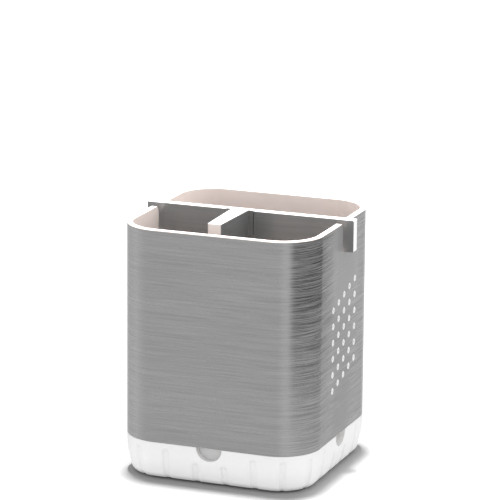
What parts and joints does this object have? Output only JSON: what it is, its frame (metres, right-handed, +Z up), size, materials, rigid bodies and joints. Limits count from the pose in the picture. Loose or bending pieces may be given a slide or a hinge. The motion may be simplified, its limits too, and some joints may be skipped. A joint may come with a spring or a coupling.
{
  "type": "toothbrush holder",
  "caption": "Ventilated toothbrush and toothpaste holder: brushed steel sleeve over a white tub, lift-out dividers, side vents and a ribbed drip tray below.",
  "frame": {"origin": "on the floor under the middle of the holder", "axes": "+Z up, -Y towards the front, +X to the right side with its vents"},
  "size_m": [0.1, 0.092, 0.117],
  "materials": {
    "tray_plastic": "satin white moulding",
    "shell_plastic": "satin white moulding",
    "divider_plastic": "satin white moulding",
    "sleeve_steel": "brushed level, around the holder",
    "divider_steel": "dark, brushed level",
    "pad_rubber": "matte"
  },
  "bodies": {
    "tray": {"base_tray": "tray_plastic", "foot_pads": "pad_rubber"},
    "holder": {"body_shell": "shell_plastic", "outer_sleeve": "sleeve_steel", "drain_grate": "shell_plastic"},
    "long_divider": {"divider_core": "divider_plastic", "divider_front_skin": "divider_steel", "divider_rear_skin": "divider_steel"},
    "cross_divider": {"cross_divider_core": "divider_plastic", "cross_divider_left_skin": "divider_steel", "cross_divider_right_skin": "divider_steel"}
  },
  "joints": [
    {"name": "holder_lift", "type": "slide", "parent": "tray", "child": "holder", "axis": [0, 0, 1], "range_m": [0, 0.06]},
    {"name": "long_divider_lift", "type": "slide", "parent": "holder", "child": "long_divider", "axis": [0, 0, 1], "range_m": [0, 0.095]},
    {"name": "cross_divider_lift", "type": "slide", "parent": "long_divider", "child": "cross_divider", "axis": [0, 0, 1], "range_m": [0, 0.09]}
  ]
}
